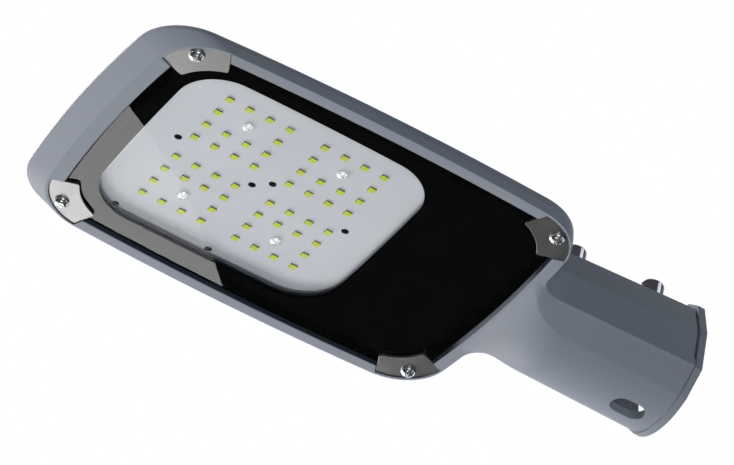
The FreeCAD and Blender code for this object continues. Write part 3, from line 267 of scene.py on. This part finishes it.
def make_paint():
    """Blue-grey powder coat on cast aluminium. Painted shade darkens the walls round the glass and the
    bays behind it."""
    tree = Tree("powder_coat")
    broad = tree.noise(14.0, 3.0)
    speck = tree.noise(2600.0, 2.0, 0.6)
    colour = tree.mix(tree.ramp(broad, 0.3, 0.7), *PAINT)
    colour = tree.mix(tree.ramp(speck, 0.62, 0.78, 0.0, 0.35), colour, PAINT_SPECK)
    x, y, z = (tree.axis(index) for index in range(3))
    past_neck = tree.ramp(x, GLASS_LOW.x - 0.0006, GLASS_LOW.x + 0.0004)
    below_roof = tree.ramp(z, BOARD_HIGH.z + 0.0002, BOARD_HIGH.z + 0.0003, 1.0, 0.0)
    along = tree.math("MULTIPLY", tree.math("SUBTRACT", x, GLASS_MIDDLE.x), tree.normal(0))
    across = tree.math("MULTIPLY", y, tree.normal(1))
    outward = tree.math("ADD", along, across)
    # Painted shade: the inward-facing walls of the opening round the glass are darkened
    wall_shade = tree.all_of(
        past_neck, below_roof, tree.ramp(outward, -0.012, -0.006, 1.0, 0.0),
        tree.ramp(z, RIM_HEIGHT + 0.0001, RIM_HEIGHT + 0.0006))
    side = GLASS_HIGH.y + SIDE_REACH
    end = GLASS_HIGH.x + END_REACH
    # Painted shade: the bays behind the glass are darkened nearly to black
    bay_shade = tree.all_of(
        past_neck, below_roof, tree.ramp(outward, 0.002, 0.006, 1.0, 0.0),
        tree.ramp(z, GLASS_HIGH.z + 0.0001, GLASS_HIGH.z + 0.0011),
        tree.ramp(tree.math("ABSOLUTE", y), side - 0.0002, side + 0.0002, 1.0, 0.0),
        tree.ramp(x, end - 0.0005, end + 0.0005, 1.0, 0.0))
    colour = tree.mix(wall_shade, colour, PAINTED_SHADE_ON_WALLS)
    colour = tree.mix(bay_shade, colour, PAINTED_SHADE_IN_BAYS)
    rough = tree.ramp(broad, 0.2, 0.8, 0.40, 0.46)
    edges = tree.soft_edges(0.0008)
    coat = tree.bump(tree.noise(900.0, 2.0), 0.05, 0.0002, edges)
    return tree.done(tree.surface(Base_Color=colour, Roughness=rough, Normal=coat,
                                  Specular_IOR_Level=0.06))


def make_glass():
    """Clear glass with a black print behind it, outside the window. Light passes straight
    through the window, and what is seen through it is lifted as by real glass."""
    tree = Tree("printed_glass")
    edge = tree.noise(1800.0, 2.0)
    distance = tree.math("ADD", window_distance(tree), tree.math("MULTIPLY", edge, 0.00006))
    printed = tree.ramp(distance, -PRINT_EDGE, PRINT_EDGE)
    behind = tree.ramp(tree.axis(2), GLASS_HIGH.z - 0.0004, GLASS_HIGH.z - 0.0002)
    at_print = tree.math("MULTIPLY", printed, behind)
    clear = tree.nodes.new("ShaderNodeBsdfRefraction")
    clear.inputs["IOR"].default_value = 1.5
    clear.inputs["Roughness"].default_value = 0.0
    clear.inputs["Color"].default_value = (0.985, 0.992, 0.99, 1.0)
    gloss = tree.nodes.new("ShaderNodeBsdfAnisotropic")
    gloss.inputs["Roughness"].default_value = 0.0
    mirror = tree.nodes.new("ShaderNodeFresnel")
    mirror.inputs["IOR"].default_value = 1.5
    front = tree.ramp(tree.axis(2), GLASS_LOW.z + 0.0001, GLASS_LOW.z + 0.0002, 1.0, 0.0)
    gloss_share = tree.math("MULTIPLY", mirror.outputs[0],
                            tree.math("MULTIPLY", front, tree.ramp(printed, 0.0, 1.0, 0.22, 0.96)))
    body = tree.blend(gloss_share, clear.outputs[0], gloss.outputs[0])
    dark = tree.nodes.new("ShaderNodeBsdfDiffuse")
    dark.inputs["Color"].default_value = (*PRINT_BLACK, 1.0)
    seen = tree.blend(at_print, body, dark.outputs[0])
    straight = tree.nodes.new("ShaderNodeBsdfTransparent")
    straight.inputs["Color"].default_value = (0.97, 0.98, 0.98, 1.0)
    blocked = tree.nodes.new("ShaderNodeBsdfTransparent")
    blocked.inputs["Color"].default_value = (0.0, 0.0, 0.0, 1.0)
    passing = tree.blend(at_print, straight.outputs[0], blocked.outputs[0])
    path = tree.nodes.new("ShaderNodeLightPath")
    soft_ray = tree.math("MAXIMUM", path.outputs["Is Shadow Ray"], path.outputs["Is Diffuse Ray"])
    return tree.done(tree.blend(soft_ray, seen, passing))


def make_rolled_steel():
    """Grey rolled sheet: fine straight grain, a few soft smears."""
    tree = Tree("rolled_stainless")
    grain = tree.noise(900.0, 3.0, 0.6, stretch=(1.0, 14.0, 1.0))
    smear = tree.noise(60.0, 2.0)
    colour = tree.mix(tree.ramp(grain, 0.3, 0.7), *ROLLED_SHEET)
    rough = tree.ramp(smear, 0.3, 0.7, 0.32, 0.38)
    normal = tree.bump(grain, 0.06, 0.0001, tree.soft_edges(0.00025))
    return tree.done(tree.surface(Base_Color=colour, Metallic=1.0, Roughness=rough, Normal=normal))


def make_bright_steel(name, colour, roughness):
    tree = Tree(name)
    wear = tree.noise(500.0, 3.0, 0.6)
    tone = tree.mix(tree.ramp(wear, 0.35, 0.7), colour, tuple(part * 0.9 for part in colour))
    rough = tree.ramp(wear, 0.3, 0.7, roughness, roughness + 0.05)
    return tree.done(tree.surface(Base_Color=tone, Metallic=1.0, Roughness=rough,
                                  Normal=tree.soft_edges(0.0002)))


def make_board_white():
    """White solder mask. The side faces of the board and of its holes are darkened with painted shade.
    """
    tree = Tree("board_white")
    weave = tree.noise(1200.0, 2.0)
    broad = tree.noise(30.0, 2.0)
    face = tree.mix(tree.ramp(broad, 0.3, 0.7), *BOARD_WHITE)
    # Painted shade: faces that do not look up or down are darkened
    side = tree.ramp(tree.math("ABSOLUTE", tree.normal(2)), 0.4, 0.6, 1.0, 0.0)
    colour = tree.mix(side, face, BOARD_SIDE_SHADE)
    normal = tree.bump(weave, 0.04, 0.0001)
    return tree.done(tree.surface(Base_Color=colour, Roughness=0.42, Normal=normal))


def make_led():
    """Yellow-green phosphor on top; the side faces are darkened to olive with painted shade."""
    tree = Tree("led_phosphor")
    grain = tree.noise(2500.0, 2.0, 0.6)
    top = tree.mix(tree.ramp(grain, 0.3, 0.7), *PHOSPHOR)
    # Painted shade: faces that do not look up or down get the dark olive
    up = tree.ramp(tree.math("ABSOLUTE", tree.normal(2)), 0.4, 0.6)
    colour = tree.mix(up, LED_SIDE_SHADE, top)
    return tree.done(tree.surface(Base_Color=colour, Roughness=0.4))


def make_plastic(name, colours, roughness, grain):
    tree = Tree(name)
    fine = tree.noise(grain, 2.0)
    colour = tree.mix(tree.ramp(fine, 0.3, 0.7), *colours)
    rough = tree.ramp(fine, 0.3, 0.7, roughness, roughness + 0.06)
    return tree.done(tree.surface(Base_Color=colour, Roughness=rough,
                                  Normal=tree.bump(fine, 0.06, 0.0001)))


def dress():
    """Gives every CAD piece its material, by its name or by how its name starts."""
    paint = make_paint()
    glass = make_glass()
    sheet = make_rolled_steel()
    screw = make_bright_steel("bright_screw", BRIGHT_SCREW, 0.09)
    bolt = make_bright_steel("plated_bolt", DARK_BOLT, 0.06)
    board = make_board_white()
    shade = make_plastic("light_frame_black", FRAME_BLACK, 0.5, 900.0)
    led = make_led()
    rubber = make_plastic("gasket_silicone", SILICONE, 0.6, 900.0)
    nylon = make_plastic("gland_nylon", NYLON, 0.4, 700.0)
    block = make_plastic("terminal_plastic", TERMINAL, 0.45, 700.0)
    case = make_plastic("driver_case", DRIVER_CASE, 0.5, 1200.0)
    chosen = {
        "housing": paint, "socket_end_collar": paint, "glass_lens": glass, "glass_gasket": rubber,
        "led_board": board, "light_frame": shade, "led_driver": case, "terminal_block": block,
        "cable_gland_body": nylon, "cable_gland_cap": nylon,
    }
    starts = {"glass_clamp": sheet, "clamp_screw": screw, "board_screw": screw,
              "driver_screw": screw, "led_group": led, "pole_bolt": bolt}
    for name, node in nodes.items():
        found = chosen.get(name)
        for start, material in starts.items():
            if name.startswith(start):
                found = material
        if not node.material_slots:
            node.data.materials.append(found)
        for slot in node.material_slots:
            slot.material = found


# Camera, lamps and surroundings


def make_camera():
    data = bpy.data.cameras.new("camera")
    data.sensor_width = 36.0
    data.lens = CAMERA_LENS
    data.clip_start = 0.05
    data.clip_end = 50.0
    camera = bpy.data.objects.new("camera", data)
    bpy.context.scene.collection.objects.link(camera)
    turn = Matrix((CAMERA_RIGHT, CAMERA_UP, CAMERA_BACK)).transposed().to_4x4()
    camera.matrix_world = Matrix.Translation(CAMERA_PLACE) @ turn
    bpy.context.scene.camera = camera


def add_lamp(name, shape, width, height, watts, place, turn):
    """An area lamp that shines along the -Z of its turn."""
    data = bpy.data.lights.new(name, "AREA")
    data.shape = shape
    data.size = width
    data.size_y = height
    data.energy = watts
    lamp = bpy.data.objects.new(name, data)
    bpy.context.scene.collection.objects.link(lamp)
    lamp.matrix_world = Matrix.Translation(place) @ turn
    return data


def make_floor():
    """A pale round floor, well below the head. The camera sees it pale from above and sees
    through it from below. The glass mirrors only its own dim light, so the print stays black."""
    mesh = bpy.data.meshes.new("floor")
    bm = bmesh.new()
    bmesh.ops.create_circle(bm, cap_ends=True, segments=96, radius=FLOOR_RADIUS)
    bm.to_mesh(mesh)
    bm.free()
    floor = bpy.data.objects.new("floor", mesh)
    floor.location = ((cad_low[0] + cad_high[0]) / 2, 0.0, FLOOR_HEIGHT)
    bpy.context.scene.collection.objects.link(floor)
    tree = Tree("pale_floor")
    tone = tree.mix(tree.noise(3.0, 2.0), *FLOOR)
    pale = tree.nodes.new("ShaderNodeEmission")
    path = tree.nodes.new("ShaderNodeLightPath")
    seen = tree.math("MAXIMUM", path.outputs["Is Camera Ray"], path.outputs["Is Transmission Ray"])
    top = tree.blend(tree.math("MULTIPLY", seen, FLOOR_PALENESS),
                     tree.surface(Base_Color=tone, Roughness=0.9), pale.outputs[0])
    clear = tree.nodes.new("ShaderNodeBsdfTransparent")
    under = tree.nodes.new("ShaderNodeNewGeometry").outputs["Backfacing"]
    mesh.materials.append(tree.done(tree.blend(under, top, clear.outputs[0])))


def make_world():
    """White where it is seen, directly, mirrored or through glass, and a faint light elsewhere."""
    world = bpy.data.worlds.new("studio")
    bpy.context.scene.world = world
    world.use_nodes = True
    tree = world.node_tree
    tree.nodes.clear()
    output = tree.nodes.new("ShaderNodeOutputWorld")
    path = tree.nodes.new("ShaderNodeLightPath")
    seen = tree.nodes.new("ShaderNodeBackground")
    seen.inputs["Color"].default_value = (1.0, 1.0, 1.0, 1.0)
    seen.inputs["Strength"].default_value = 1.0
    soft = tree.nodes.new("ShaderNodeBackground")
    soft.inputs["Color"].default_value = (*SOFT_COLOUR, 1.0)
    soft.inputs["Strength"].default_value = SOFT_LIGHT
    either = tree.nodes.new("ShaderNodeMath")
    either.operation = "MAXIMUM"
    tree.links.new(path.outputs["Is Camera Ray"], either.inputs[0])
    tree.links.new(path.outputs["Is Glossy Ray"], either.inputs[1])
    any_seen = tree.nodes.new("ShaderNodeMath")
    any_seen.operation = "MAXIMUM"
    tree.links.new(either.outputs[0], any_seen.inputs[0])
    tree.links.new(path.outputs["Is Transmission Ray"], any_seen.inputs[1])
    mix = tree.nodes.new("ShaderNodeMixShader")
    tree.links.new(any_seen.outputs[0], mix.inputs[0])
    tree.links.new(soft.outputs[0], mix.inputs[1])
    tree.links.new(seen.outputs[0], mix.inputs[2])
    tree.links.new(mix.outputs[0], output.inputs["Surface"])


def light_scene():
    away = Vector(KEY_AWAY)
    along = Vector(KEY_ALONG)
    turn = Matrix((along, away, along.cross(away))).transposed().to_4x4()
    middle = Vector(KEY_EDGE_POINT) + away * KEY_REACH
    add_lamp("key_softbox", "ELLIPSE", KEY_LENGTH, KEY_WIDTH, KEY_WATTS, middle, turn)
    for name, place, width, height, watts, colour, spread in LAMPS:
        aim = Vector(place) - Vector(LAMP_TARGET)
        turn = aim.to_track_quat("Z", "Y").to_matrix().to_4x4()
        data = add_lamp(name, "RECTANGLE", width, height, watts, place, turn)
        data.color = colour
        data.spread = math.radians(spread)
    make_world()


dress()
make_camera()
make_floor()
light_scene()
bpy.context.scene.view_settings.view_transform = "Standard"
